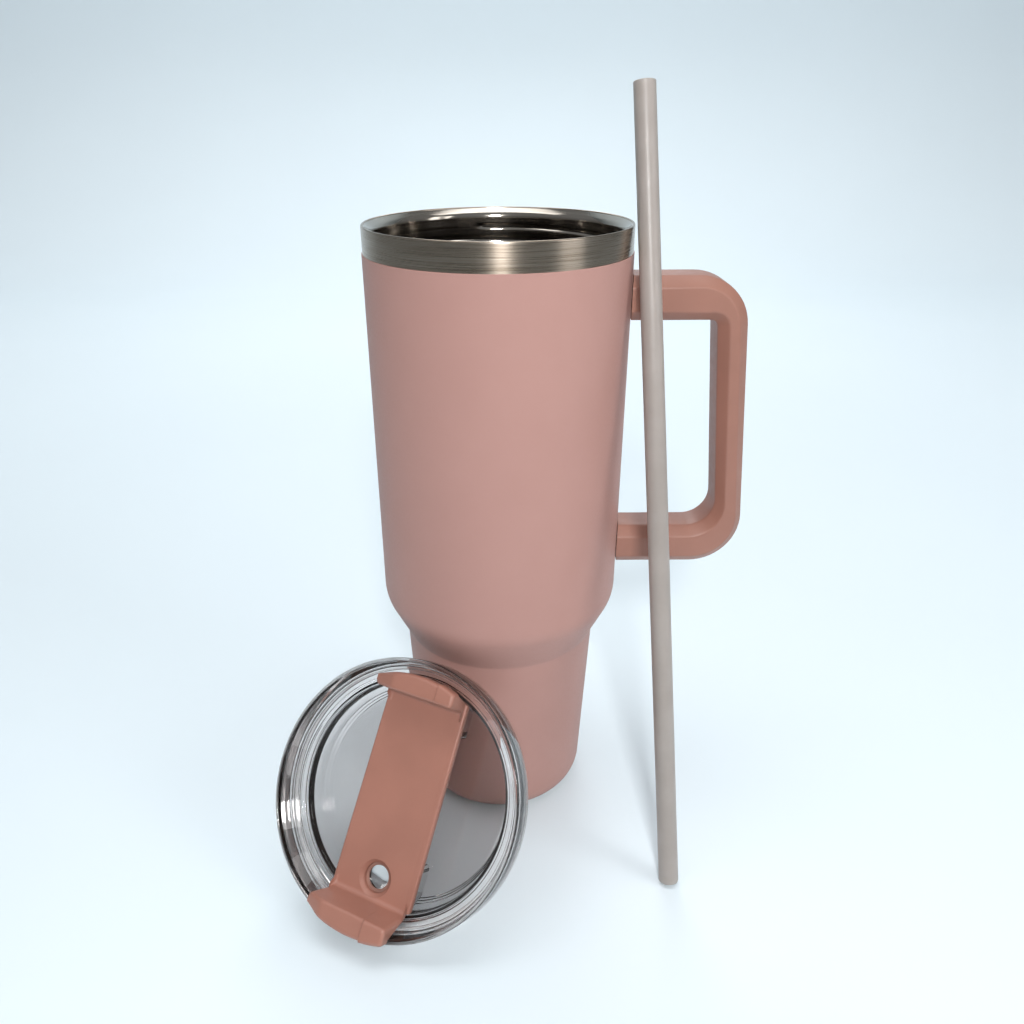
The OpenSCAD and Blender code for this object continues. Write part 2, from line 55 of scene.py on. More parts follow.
CAMERA_AT = Vector((0, -317, 288.9)) * MM
CAMERA_PITCH = 23.7
CAMERA_ROLL = -0.3


def make_camera():
    data = bpy.data.cameras.new("camera")
    data.sensor_width = 36
    data.lens = 29.5
    data.shift_x = 0.0126
    data.shift_y = -0.0379
    data.clip_start = 0.01
    camera = bpy.data.objects.new("camera", data)
    bpy.context.scene.collection.objects.link(camera)
    tilt = Matrix.Rotation(math.radians(90 - CAMERA_PITCH), 4, "X")
    roll = Matrix.Rotation(math.radians(CAMERA_ROLL), 4, "Z")
    camera.matrix_world = Matrix.Translation(CAMERA_AT) @ tilt @ roll
    bpy.context.scene.camera = camera


make_camera()
bpy.context.scene.view_settings.view_transform = "Standard"


# ---------------------------------------------------------------------------
# Materials
# ---------------------------------------------------------------------------

class Shader:
    """A Principled material and the nodes that vary it over the surface."""

    def __init__(self, name, color, roughness, **sockets):
        self.material = bpy.data.materials.new(name)
        self.material.use_nodes = True
        self.tree = self.material.node_tree
        self.bsdf = self.tree.nodes["Principled BSDF"]
        self.bsdf.inputs["Base Color"].default_value = (*color, 1)
        self.bsdf.inputs["Roughness"].default_value = roughness
        for key, value in sockets.items():
            self.bsdf.inputs[key.replace("_", " ")].default_value = value
        self.place = self.add("ShaderNodeTexCoord").outputs["Object"]
        self.normal = None

    def add(self, kind, **values):
        node = self.tree.nodes.new(kind)
        for key, value in values.items():
            setattr(node, key, value)
        return node

    def link(self, a, b):
        self.tree.links.new(a, b)

    def stretched(self, x, y, z):
        """The surface's own coordinates, stretched along each axis."""
        mapping = self.add("ShaderNodeMapping")
        mapping.inputs["Scale"].default_value = (x, y, z)
        self.link(self.place, mapping.inputs["Vector"])
        return mapping.outputs["Vector"]

    def noise(self, size, detail=3, place=None, rough=0.5):
        """Noise whose grains are about size metres across."""
        node = self.add("ShaderNodeTexNoise")
        node.inputs["Scale"].default_value = 1 / size
        node.inputs["Detail"].default_value = detail
        node.inputs["Roughness"].default_value = rough
        self.link(place or self.place, node.inputs["Vector"])
        return node.outputs["Fac"]

    def brushed(self, amount):
        """Stretches highlights along the axis, as lines brushed around the axis do."""
        tangent = self.add("ShaderNodeTangent", direction_type="RADIAL", axis="Z")
        self.link(tangent.outputs["Tangent"], self.bsdf.inputs["Tangent"])
        self.bsdf.inputs["Anisotropic"].default_value = amount
        self.bsdf.inputs["Anisotropic Rotation"].default_value = 0.25

    def cells(self, size):
        node = self.add("ShaderNodeTexVoronoi", feature="SMOOTH_F1")
        node.inputs["Scale"].default_value = 1 / size
        self.link(self.place, node.inputs["Vector"])
        return node.outputs["Distance"]

    def tint(self, fac, low, high, start=0.35, end=0.65):
        """Colours the surface from low to high as fac rises."""
        ramp = self.add("ShaderNodeValToRGB")
        ramp.color_ramp.elements[0].position = start
        ramp.color_ramp.elements[0].color = (*low, 1)
        ramp.color_ramp.elements[1].position = end
        ramp.color_ramp.elements[1].color = (*high, 1)
        self.link(fac, ramp.inputs["Fac"])
        self.link(ramp.outputs["Color"], self.bsdf.inputs["Base Color"])

    def gloss(self, fac, low, high):
        """Varies the roughness from low to high as fac rises."""
        reach = self.add("ShaderNodeMapRange")
        reach.inputs["From Min"].default_value = 0.3
        reach.inputs["From Max"].default_value = 0.7
        reach.inputs["To Min"].default_value = low
        reach.inputs["To Max"].default_value = high
        self.link(fac, reach.inputs["Value"])
        self.link(reach.outputs["Result"], self.bsdf.inputs["Roughness"])

    def bump(self, height, depth, strength=1.0):
        """Adds a relief of about depth metres."""
        node = self.add("ShaderNodeBump")
        node.inputs["Strength"].default_value = strength
        node.inputs["Distance"].default_value = depth
        self.link(height, node.inputs["Height"])
        if self.normal:
            self.link(self.normal, node.inputs["Normal"])
        self.normal = node.outputs["Normal"]
        self.link(self.normal, self.bsdf.inputs["Normal"])


def powder_coat():
    """Matt powder coat: a fine even orange peel, and hardly any change of shade."""
    s = Shader("powder_coat", (0.43, 0.236, 0.203), 0.52, Specular_IOR_Level=0.38)
    s.tint(s.noise(0.03, 5), (0.424, 0.232, 0.199), (0.437, 0.241, 0.207))
    s.gloss(s.noise(0.001), 0.46, 0.56)
    s.bump(s.noise(0.0011, 2), 0.00003, 0.35)
    s.bump(s.cells(0.0005), 0.00003, 0.4)
    return s.material


def moulded(name, color, roughness):
    """Satin moulded plastic with a fine spark-eroded grain and faint handling marks."""
    s = Shader(name, color, roughness, Specular_IOR_Level=0.5)
    low = tuple(c * 0.95 for c in color)
    high = tuple(c * 1.04 for c in color)
    s.tint(s.noise(0.02, 4), low, high)
    s.gloss(s.noise(0.003), roughness - 0.04, roughness + 0.05)
    s.bump(s.noise(0.0005, 2), 0.00002, 0.5)
    return s.material


def brushed_steel():
    """Steel brushed around the cup, in fine level lines. Its colour is darker and browner than bare steel: a
    painted dark reflection of the surroundings.
    """
    s = Shader("bare_steel", (0.35, 0.29, 0.235), 0.28, Metallic=1.0)
    s.brushed(0.85)
    lines = s.noise(0.0007, 3, s.stretched(0.02, 0.02, 3), 0.6)
    # both tint colours are darkened and browned: painted dark reflection, varied along the brushed lines
    s.tint(lines, (0.28, 0.225, 0.17), (0.4, 0.345, 0.29))
    s.gloss(lines, 0.25, 0.33)
    s.bump(lines, 0.000005, 0.5)
    return s.material


def liner_steel():
    """Steel drawn and polished bright, with faint level draw lines."""
    s = Shader("liner_steel", (0.42, 0.385, 0.34), 0.15, Metallic=1.0)
    s.brushed(0.6)
    lines = s.noise(0.001, 2, s.stretched(0.02, 0.02, 2))
    s.gloss(lines, 0.09, 0.18)
    s.bump(lines, 0.000008, 0.5)
    s.tint(s.noise(0.02, 4), (0.39, 0.355, 0.31), (0.45, 0.415, 0.37))
    return s.material


def clear_plastic():
    # the warm grey tint darkens the clear plastic: painted shade standing in for dim surroundings seen through and
    # in it
    s = Shader("clear_plastic", (0.84, 0.8, 0.785), 0.03, Transmission_Weight=1.0, IOR=1.5)
    s.tint(s.noise(0.03, 3), (0.83, 0.79, 0.775), (0.85, 0.81, 0.795))
    s.gloss(s.noise(0.004, 3), 0.015, 0.06)
    s.bump(s.noise(0.012, 2), 0.00012, 0.25)
    return s.material


def rubber(name, color, roughness, **sockets):
    s = Shader(name, color, roughness, **sockets)
    s.tint(s.noise(0.004, 3), tuple(c * 0.85 for c in color), tuple(c * 1.15 for c in color))
    s.gloss(s.noise(0.001), roughness - 0.06, roughness + 0.08)
    s.bump(s.noise(0.0003, 2), 0.00002, 0.4)
    return s.material


def straw_plastic():
    """Frosted polypropylene, extruded, with faint lines along it."""
    s = Shader("straw_plastic", (0.56, 0.5, 0.46), 0.38, Transmission_Weight=0.45, IOR=1.45)
    lines = s.noise(0.0007, 2, s.stretched(1, 1, 0.02))
    s.tint(s.noise(0.009, 3), (0.54, 0.48, 0.44), (0.58, 0.52, 0.48))
    s.gloss(lines, 0.34, 0.44)
    s.bump(lines, 0.00003, 0.3)
    return s.material


def metal(name, color, roughness, grain, depth):
    s = Shader(name, color, roughness, Metallic=1.0)
    s.tint(s.noise(grain * 4, 3), tuple(c * 0.9 for c in color), tuple(min(c * 1.05, 1) for c in color))
    s.gloss(s.noise(grain), roughness - 0.08, roughness + 0.08)
    s.bump(s.noise(grain, 2), depth, 0.4)
    return s.material


MATERIALS = {
    "bare_steel": brushed_steel(),
    "liner_steel": liner_steel(),
    "powder_coat": powder_coat(),
    "handle_plastic": moulded("handle_plastic", (0.33, 0.155, 0.113), 0.44),
    "cover_plastic": moulded("cover_plastic", (0.355, 0.16, 0.117), 0.4),
    "clear_plastic": clear_plastic(),
    "gasket_rubber": rubber("gasket_rubber", (0.012, 0.01, 0.01), 0.45),
    # seal silicone darkened to a cover-like brown: painted shade inside the straw hole, where the seal shows
    "seal_silicone": rubber("seal_silicone", (0.3, 0.16, 0.125), 0.5),
    "straw_plastic": straw_plastic(),
    "copper_foil": metal("copper_foil", (0.72, 0.36, 0.2), 0.25, 0.002, 0.0001),
    "insert_brass": metal("insert_brass", (0.7, 0.5, 0.2), 0.3, 0.0004, 0.00002),
    "screw_steel": metal("screw_steel", (0.55, 0.54, 0.52), 0.28, 0.0005, 0.00002),
}

SLOT_OF = {row["node"]: row["material_slot"] for row in frame["record"]["subparts"]}

for node, thing in frame["nodes"].items():
    thing.data.materials.clear()
    thing.data.materials.append(MATERIALS[SLOT_OF[node]])

# ---------------------------------------------------------------------------
# Mesh tools. Outlines are lists of (x, y) in millimetres, and meshes are in metres
# ---------------------------------------------------------------------------

ROUND_STEPS = 5


def polar(r, degrees):
    a = math.radians(degrees)
    return Vector((r * math.cos(a), r * math.sin(a)))


def arc(centre, r, start, end, steps=24):
    return [Vector(centre) + polar(r, start + (end - start) * i / steps) for i in range(steps + 1)]


def rounded(corners, steps=ROUND_STEPS):
    """A closed outline through corners of (x, y, radius), each rounded to its radius."""
    out = []
    for i, (x, y, radius) in enumerate(corners):
        here = Vector((x, y))
        before = Vector(corners[i - 1][:2]) - here
        after = Vector(corners[(i + 1) % len(corners)][:2]) - here
        room = 0.49 * min(before.length, after.length)
        before.normalize()
        after.normalize()
        half = before.angle(after) / 2
        reach = min(radius / math.tan(half), room)
        if radius == 0 or half > math.radians(89.5):
            out += [here] * (1 if radius == 0 else steps + 1)
            continue
        centre = here + (before + after).normalized() * reach / math.cos(half)
        first = here + before * reach - centre
        turn = (here + after * reach - centre).angle_signed(first)
        out += [centre + Matrix.Rotation(turn * k / steps, 2) @ first for k in range(steps + 1)]
    return out


def ease(x):
    """0 below x = 0, 1 above x = 1, and smooth between."""
    x = min(max(x, 0), 1)
    return x * x * (3 - 2 * x)


def new_piece(name, points, faces, place=Matrix.Identity(4)):
    """A mesh object from points in millimetres, with its faces all turned outwards."""
    mesh = bpy.data.meshes.new(name)
    mesh.from_pydata([place @ (Vector(p) * MM) for p in points], [], faces)
    shape = bmesh.new()
    shape.from_mesh(mesh)
    bmesh.ops.recalc_face_normals(shape, faces=shape.faces)
    if shape.calc_volume(signed=True) < 0:
        bmesh.ops.reverse_faces(shape, faces=shape.faces)
    shape.to_mesh(mesh)
    shape.free()
    piece = bpy.data.objects.new(name, mesh)
    bpy.context.scene.collection.objects.link(piece)
    return piece


def turned(name, outline, segments=192, place=Matrix.Identity(4), shape=None):
    """A solid turned from a closed outline of (radius, height). shape may move a point by its angle."""
    points, rings = [], []
    for r, z in outline:
        first = len(points)
        if r < 1e-6:
            rings.append([first] * segments)
            points.append((0, 0, z))
            continue
        rings.append(list(range(first, first + segments)))
        for i in range(segments):
            angle = 360 * i / segments
            radius = shape(angle, r, z) if shape else r
            points.append((*polar(radius, angle), z))
    faces = []
    for low, high in zip(rings, rings[1:] + rings[:1]):
        for i in range(segments):
            j = (i + 1) % segments
            face = list(dict.fromkeys((low[i], low[j], high[j], high[i])))
            if len(face) > 2:
                faces.append(face)
    return new_piece(name, points, faces, place)


def lofted(name, loops, place=Matrix.Identity(4)):
    """A solid through loops of as many points each, closed at both ends."""
    count = len(loops[0])
    points = [p for loop in loops for p in loop]
    faces = [list(range(count)), list(range(len(points) - count, len(points)))]
    for k in range(len(loops) - 1):
        for i in range(count):
            j = (i + 1) % count
            faces.append([k * count + i, k * count + j, (k + 1) * count + j, (k + 1) * count + i])
    return new_piece(name, points, faces, place)


def combine(piece, other, operation):
    """Joins other to the piece, or cuts it out of the piece."""
    modifier = piece.modifiers.new("combine", "BOOLEAN")
    modifier.operation = operation
    modifier.solver = "EXACT"
    modifier.object = other
    graph = bpy.context.evaluated_depsgraph_get()
    old = piece.data
    piece.data = bpy.data.meshes.new_from_object(piece.evaluated_get(graph))
    piece.modifiers.clear()
    bpy.data.meshes.remove(old)
    bpy.data.objects.remove(other)


def finish_piece(piece, slot, body, *nodes, sharp=32):
    """Smooths the piece up to its sharp edges, gives it its material, and puts it on its body."""
    mesh = piece.data
    mesh.name = piece.name
    mesh.shade_smooth()
    mesh.set_sharp_from_angle(angle=math.radians(sharp))
    mesh.materials.clear()
    mesh.materials.append(MATERIALS[slot])
    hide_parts(*nodes)
    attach(piece, body)


# ---------------------------------------------------------------------------
# Cup
# ---------------------------------------------------------------------------

CUP_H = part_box("outer_shell")[1].z / MM
BAND_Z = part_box("powder_coat")[1].z / MM
COAT_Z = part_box("powder_coat")[0].z / MM
RIM_R = 50.0
WALL_TAPER = 0.8
SHOULDER = Vector((RIM_R - WALL_TAPER, 99.5))
SHOULDER_ROUND = 17.0
NECK = Vector((SHOULDER.x - 8.65, 81.8))
FOOT = Vector((NECK.x - 4.4, 0.0))
FOOT_ROUND = 11.0
COAT_T = 0.3
STEEL_T = 0.5
SHELL_IN = COAT_T + STEEL_T
WALL_DEPTH = 4.0
LINER_FLOOR = 8.0
BORE_R = RIM_R - WALL_DEPTH
THROAT_Z = CUP_H - 22.0
FLARE_H = 4.5
BASE_PLATE_R = 22.0
BASE_RECESS = 2.0

RIM = Vector((RIM_R, CUP_H))
WALL_A = math.degrees(math.atan2(RIM.y - SHOULDER.y, RIM.x - SHOULDER.x))
CONE_A = math.degrees(math.atan2(SHOULDER.y - NECK.y, SHOULDER.x - NECK.x))
LOW_A = math.degrees(math.atan2(NECK.y - FOOT.y, NECK.x - FOOT.x))


def inset(point, degrees, t):
    """A point of a line in that direction, moved in by t."""
    return point - polar(t, degrees - 90)


def meet(p, a, q, b):
    """Where the line through p in direction a meets the line through q in direction b."""
    d, e = polar(1, a), polar(1, b)
    return p + d * (((q.x - p.x) * e.y - (q.y - p.y) * e.x) / (d.x * e.y - d.y * e.x))


SHOULDER_C = meet(inset(RIM, WALL_A, SHOULDER_ROUND), WALL_A, inset(NECK, CONE_A, SHOULDER_ROUND), CONE_A)


def wall_at(z, t=0.0):
    return RIM_R - t - (CUP_H - z) / math.tan(math.radians(WALL_A))


def side(t, floor, foot_round, neck_round=5.0):
    """The cup's outline moved in by t, from its floor up to the top of the shoulder."""
    foot_c = meet(Vector((0, floor + foot_round)), 0, inset(FOOT, LOW_A, t + foot_round), LOW_A)
    crease = meet(inset(NECK, CONE_A, t), CONE_A, inset(FOOT, LOW_A, t), LOW_A)
    bend = (LOW_A - CONE_A) / 2
    reach = neck_round * math.tan(math.radians(bend))
    neck_c = crease - polar(reach, LOW_A) - polar(-neck_round, LOW_A - 90)
    return (arc(foot_c, foot_round, -90, LOW_A - 90)
            + arc(neck_c, neck_round, LOW_A + 90, CONE_A + 90, 8)
            + arc(SHOULDER_C, SHOULDER_ROUND - t, CONE_A - 90, WALL_A - 90))


def make_coat():
    outside = [p for p in side(0, 0, FOOT_ROUND) if p.y > COAT_Z]
    inside = [p for p in side(COAT_T, 0, FOOT_ROUND - COAT_T) if p.y > COAT_Z]
    top = [Vector((wall_at(BAND_Z - 0.15), BAND_Z - 0.15)), Vector((wall_at(BAND_Z, 0.1), BAND_Z)),
           Vector((wall_at(BAND_Z, COAT_T), BAND_Z))]
    piece = turned("cup_coat", outside + top + inside[::-1])
    finish_piece(piece, "powder_coat", "cup", "powder_coat")


def make_shell():
    lip = STEEL_T
    lip_c = (wall_at(CUP_H, COAT_T + lip), CUP_H - lip)
    outline = [Vector((BASE_PLATE_R, 0.3)), Vector((BASE_PLATE_R + 0.3, 0))]
    outline += side(COAT_T, 0, FOOT_ROUND - COAT_T)
    outline += arc(lip_c, lip, 0, 180, 12)
    outline += [Vector((lip_c[0] - lip, CUP_H - 1.5)), Vector((wall_at(CUP_H, SHELL_IN), CUP_H - 1.5))]
    outline += side(SHELL_IN, STEEL_T, FOOT_ROUND - SHELL_IN)[::-1]
    outline += [Vector((BASE_PLATE_R + STEEL_T, STEEL_T)),
                Vector((BASE_PLATE_R + STEEL_T, BASE_RECESS + STEEL_T)),
                Vector((BASE_PLATE_R, BASE_RECESS + STEEL_T))]
    piece = turned("cup_shell", outline)
    finish_piece(piece, "bare_steel", "cup", "outer_shell")


THREAD_TOP = CUP_H - 7.4
THREAD_PITCH = 5.0
THREAD_TURNS = 1.6
THREAD_START = 101.0
THREAD_HALF = 1.3
THREAD_DEEP = 0.8


def threaded(angle, r, z):
    """Radius of the liner where a rolled thread runs around and down the throat."""
    if r > BORE_R + 0.1 and z < CUP_H - FLARE_H:
        return r
    deepest = 0.0
    for turn in range(3):
        run = (THREAD_START - angle) / 360 + turn
        if 0 <= run <= THREAD_TURNS:
            off = abs(z - (THREAD_TOP - THREAD_PITCH * run)) / THREAD_HALF
            ends = ease(run / 0.012) * ease((THREAD_TURNS - run) / 0.06)
            if off < 1:
                deepest = max(deepest, ends * (0.5 + 0.5 * math.cos(math.pi * off)))
    return r + THREAD_DEEP * deepest


def make_liner():
    lip_r = wall_at(CUP_H, SHELL_IN) - 0.05
    out_t = WALL_DEPTH - STEEL_T
    floor_round = FOOT_ROUND - 2
    inner = side(WALL_DEPTH, LINER_FLOOR, floor_round - STEEL_T)
    throat = [Vector((BORE_R, THROAT_Z + k * 0.25)) for k in range(int((22 - FLARE_H) / 0.25) + 1)]
    flare_c = (BORE_R + 3.2, CUP_H - FLARE_H + 0.3)
    flare = arc(flare_c, 3.2, 180, 128, 12) + [Vector((lip_r - 1.1, CUP_H - 0.9))]
    lip = [Vector((lip_r - 0.5, CUP_H - 0.45)), Vector((lip_r, CUP_H - 0.6))]
    outer = side(out_t, LINER_FLOOR - STEEL_T, floor_round)
    back = [Vector((lip_r, CUP_H - 2.2)), Vector((BORE_R + STEEL_T, CUP_H - FLARE_H)),
            Vector((BORE_R + STEEL_T, THROAT_Z))]
    outline = [Vector((0, LINER_FLOOR))] + inner + throat + flare + lip + back + outer[::-1]
    outline += [Vector((0, LINER_FLOOR - STEEL_T))]
    piece = turned("cup_liner", outline, 256, shape=threaded)
    finish_piece(piece, "liner_steel", "cup", "inner_shell")


make_coat()
make_shell()
make_liner()

# ---------------------------------------------------------------------------
# Handle
# ---------------------------------------------------------------------------

ARM_T = 16.8
HANDLE_LOW, HANDLE_HIGH = (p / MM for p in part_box("handle"))
HANDLE_W = HANDLE_HIGH.y - HANDLE_LOW.y
GRIP_T = 11.6
GRIP_LEAN = 4.2
GRIP_INNER_LEAN = 4.8
CORNER_OUT = 20.0
CORNER_LOW = 11.0
CORNER_HIGH = 2.5
HANDLE_CHAMFER = 4.0
HANDLE_GAP = 0.3
GRIP_X = RIM_R + 43.8
ROOT_X = RIM_R - 12
ARM_END_X = RIM_R + 8
HANDLE_EDGE = 1.6
SOCKET_ROOM = 0.2


def grip_corner(z, up, x, lean, r):
    """Centre of an arc that touches a level line at z and a side that leans out from x.

    x is where the side meets the underside of the upper arm.
    """
    a = math.radians(lean)
    side_z = HANDLE_HIGH.z - ARM_T
    return (x + (side_z - (z - up * r)) * math.tan(a) - r / math.cos(a), z - up * r)


def make_handle():
    """The handle, lofted from its inner line to its outer one, then cut to fit cup, brackets and plugs."""
    top, bottom = HANDLE_HIGH.z, HANDLE_LOW.z
    arm_top, arm_low = top - ARM_T, bottom + ARM_T
    inner_x = GRIP_X - GRIP_T
    steps = 14
    inner = [Vector((ROOT_X, arm_top)), Vector((ARM_END_X, arm_top))]
    inner += arc(grip_corner(arm_top, 1, inner_x, GRIP_INNER_LEAN, CORNER_HIGH), CORNER_HIGH,
                 90, GRIP_INNER_LEAN, steps)
    inner += arc(grip_corner(arm_low, -1, inner_x, GRIP_INNER_LEAN, CORNER_LOW), CORNER_LOW,
                 GRIP_INNER_LEAN, -90, steps)
    inner += [Vector((ARM_END_X, arm_low)), Vector((ROOT_X, arm_low))]
    outer = [Vector((ROOT_X, top)), Vector((ARM_END_X, top))]
    outer += arc(grip_corner(top, 1, GRIP_X, GRIP_LEAN, CORNER_OUT), CORNER_OUT, 90, GRIP_LEAN, steps)
    outer += arc(grip_corner(bottom, -1, GRIP_X, GRIP_LEAN, CORNER_OUT), CORNER_OUT, GRIP_LEAN, -90, steps)
    outer += [Vector((ARM_END_X, bottom)), Vector((ROOT_X, bottom))]
    loops = []
    for p, q in zip(inner, outer):
        length = (q - p).length
        half, flat = HANDLE_W / 2, HANDLE_W / 2 - HANDLE_CHAMFER
        cut = HANDLE_CHAMFER
        section = rounded([
            (*corner, HANDLE_EDGE) for corner in (
                (length, flat), (length - cut, half), (cut, half), (0, flat),
                (0, -flat), (cut, -half), (length - cut, -half), (length, -flat))], 4)
        across = (q - p) / length
        loops.append([(*(p + across * s.x), s.y) for s in section])
    loops = [[(x, y, z) for x, z, y in loop] for loop in loops]
    piece = lofted("handle_grip", loops)
    gap = HANDLE_GAP
    low, high = SHOULDER.y, CUP_H + 5
    core = [Vector((0, low)), Vector((wall_at(low) + gap, low)), Vector((wall_at(high) + gap, high)),
            Vector((0, high))]
    combine(piece, turned("core", core, 256), "DIFFERENCE")
    for arm in ("upper_bracket", "lower_bracket"):
        box_low, box_high = (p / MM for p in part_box(arm))
        z = (box_low.z + box_high.z) / 2
        half_w, half_h = box_high.y + SOCKET_ROOM, box_high.z - z + SOCKET_ROOM
        corners = [(-half_w, z - half_h), (half_w, z - half_h), (half_w, z + half_h), (-half_w, z + half_h)]
        socket = lofted("socket", [[(x, *c) for c in corners] for x in (20, box_high.x + SOCKET_ROOM)])
        combine(piece, socket, "DIFFERENCE")
        plug_low, plug_high = plug_of(z)
        middle = (plug_low + plug_high) / 2
        bore = [Vector(p) for p in (
            (0, plug_low.z - 1), (PLUG_R, plug_low.z - 1), (PLUG_R, plug_low.z + 3), (0, plug_low.z + 3))]
        at = Matrix.Translation(Vector((middle.x, 0, 0)) * MM)
        combine(piece, turned("bore", bore, 48, at), "DIFFERENCE")
    finish_piece(piece, "handle_plastic", "cup", "handle", sharp=28)


def plug_of(arm_z):
    """The box of the screw plug under the arm at that height."""
    low, high = (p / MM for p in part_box("screw_plugs"))
    top = abs(high.z - arm_z) < ARM_T
    thick = 1.2
    if top:
        return Vector((low.x, low.y, high.z - thick)), high
    return low, Vector((high.x, high.y, low.z + thick))


PLUG_R = (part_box("screw_plugs")[1].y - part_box("screw_plugs")[0].y) / 2 / MM

make_handle()

# ---------------------------------------------------------------------------
# Lid, in its own frame: z out of the lid from the collar's upper edge
# ---------------------------------------------------------------------------

LID_JOINT = next(j for j in frame["joints"] if j["name"] == "cover_turn")
LID_SPIN = -1.5


def lid_place():
    """Where the lid lies, from the joint that the cover turns on, with a small spin about that axis."""
    out = Vector(LID_JOINT["axis"]).normalized()
    level = Vector((-out.y, out.x, 0)).normalized()
    up = out.cross(level)
    turn = Matrix((level, up, out)).transposed().to_4x4()
    return Matrix.Translation(LID_JOINT["pos_m"]) @ turn @ Matrix.Rotation(math.radians(LID_SPIN), 4, "Z")


IN_LID = lid_place()
COLLAR_R = RIM_R + 1.4
COLLAR_H = 11.8
COLLAR_EDGE = 1.2
FLOOR_DEPTH = 23.5
FLOOR_T = 2.0
PLUG_WALL_R = BORE_R - 1.1
PLUG_IN = PLUG_WALL_R - 2.0
PLUG_LOW = -FLOOR_DEPTH - FLOOR_T
COVER_DEPTH = 8.0
COVER_T = 3.0
BOWL_W = -COVER_DEPTH - COVER_T + 0.5
TAPER_W = -17.5
PLUG_TAPER = 5.5
LOW_R = PLUG_WALL_R - PLUG_TAPER
GASKET_W = -15.0
GASKET_T = 2.4
DECK_W = -12.1
DECK_T = 2.4
DECK_CORNER = 1.5
DECK_WALL = 2.0
OPENING_R = 32.3
PORT_R = 5.2
DECK_IN = OPENING_R - PORT_R - 2.4
PIVOT_R = 2.3


def chord(r, x):
    """How far out a circle of radius r is at x."""
    return math.sqrt(max(r * r - x * x, 0.01))


def deck_loop(half, start, r, w):
    """Plan of a deck on the +y side, inside radius r, at height w."""
    ends = [math.degrees(math.acos(half / r)), math.degrees(math.acos(-half / r))]
    corner = DECK_CORNER
    outline = (arc((corner - half, start + corner), corner, 180, 270, 5)
               + arc((half - corner, start + corner), corner, 270, 360, 5)
               + arc((0, 0), r, *ends, 24))
    return [(x, y, w) for x, y in outline]


def make_lid():
    """The clear lid: collar, plug and floor turned as one, two decks with a port each, and a pivot hole."""
    low_in = LOW_R + PLUG_TAPER * FLOOR_T / (TAPER_W - PLUG_LOW) - 2

    def wall_in(w):
        """Radius of the lid's tapering inside wall at height w."""
        return low_in + 0.4 + (PLUG_IN - 1.2 - low_in) * (w + FLOOR_DEPTH) / (TAPER_W + FLOOR_DEPTH)

    groove = PLUG_WALL_R - 0.7
    outline = rounded([
        (0, PLUG_LOW, 0), (LOW_R, PLUG_LOW, 0.8), (PLUG_WALL_R, TAPER_W, 2),
        (PLUG_WALL_R, GASKET_W - GASKET_T / 2, 0.2), (groove, GASKET_W - GASKET_T / 2, 0.2),
        (groove, GASKET_W + GASKET_T / 2, 0.2), (PLUG_WALL_R, GASKET_W + GASKET_T / 2, 0.2),
        (PLUG_WALL_R, -COLLAR_H, 0.3), (RIM_R - 3, -COLLAR_H, 0.3), (RIM_R - 3, 1.5 - COLLAR_H, 0.3),
        (RIM_R + 0.3, 1.5 - COLLAR_H, 0.3), (RIM_R + 0.3, -COLLAR_H, 0.2), (COLLAR_R, -COLLAR_H, 0.4),
        (COLLAR_R, 0, 0.55), (COLLAR_R - COLLAR_EDGE, 0, 0.5),
        (COLLAR_R - COLLAR_EDGE - 0.5, -1.6, 0.5), (PLUG_IN + 1.9, -7.2, 0.6), (PLUG_IN + 1.5, -8.6, 0.4),
        (PLUG_IN + 0.4, -9.0, 0.4), (PLUG_IN, BOWL_W, 0.5),
        (PLUG_IN, -12.6, 0.3), (PLUG_IN - 0.3, -12.9, 0.2),
        (PLUG_IN - 0.3, TAPER_W + 1.2, 0.5), (wall_in(TAPER_W - 0.3), TAPER_W - 0.3, 0.3)]
        + [(wall_in(w) - side, w, 0.25) for w in (-19.3, -20.8, -22.2) for side in (0, 0.45)]
        + [(low_in, -FLOOR_DEPTH, 0.8), (0, -FLOOR_DEPTH, 0)])
    piece = turned("lid_shell", outline, 192, IN_LID)
    half, wall, start = COVER_HALF - 2.9, DECK_WALL, DECK_IN
    for sign in (1, -1):
        place = IN_LID @ Matrix.Rotation(math.radians(90 - 90 * sign), 4, "Z")
        loops = [deck_loop(half, start, PLUG_WALL_R - 1, DECK_W),
                 deck_loop(half, start, PLUG_WALL_R - 1, TAPER_W),
                 deck_loop(half, start, LOW_R - 1, PLUG_LOW + 0.3)]
        combine(piece, lofted("deck", loops, place), "UNION")
        under = DECK_W - DECK_T
        loops = [deck_loop(half - wall, start + wall, PLUG_IN, under),
                 deck_loop(half - wall, start + wall, PLUG_IN, TAPER_W),
                 deck_loop(half - wall, start + wall, LOW_R - 2.4, PLUG_LOW - 1)]
        combine(piece, lofted("room", loops, place), "DIFFERENCE")
        bore = rounded([(0, under - 1, 0), (PORT_R, under - 1, 0), (PORT_R, DECK_W - 0.4, 0.4),
                        (PORT_R + 0.5, DECK_W + 0.2, 0), (PORT_R + 0.5, DECK_W + 1, 0), (0, DECK_W + 1, 0)])
        at = place @ Matrix.Translation((0, OPENING_R * MM, 0))
        combine(piece, turned("port", bore, 64, at), "DIFFERENCE")
    low, high = PLUG_LOW - 1, 1 - FLOOR_DEPTH
    hole = [Vector(p) for p in ((0, low), (PIVOT_R, low), (PIVOT_R, high), (0, high))]
    combine(piece, turned("pivot_hole", hole, 48, IN_LID), "DIFFERENCE")
    finish_piece(piece, "clear_plastic", "lid", "lid_body", sharp=35)


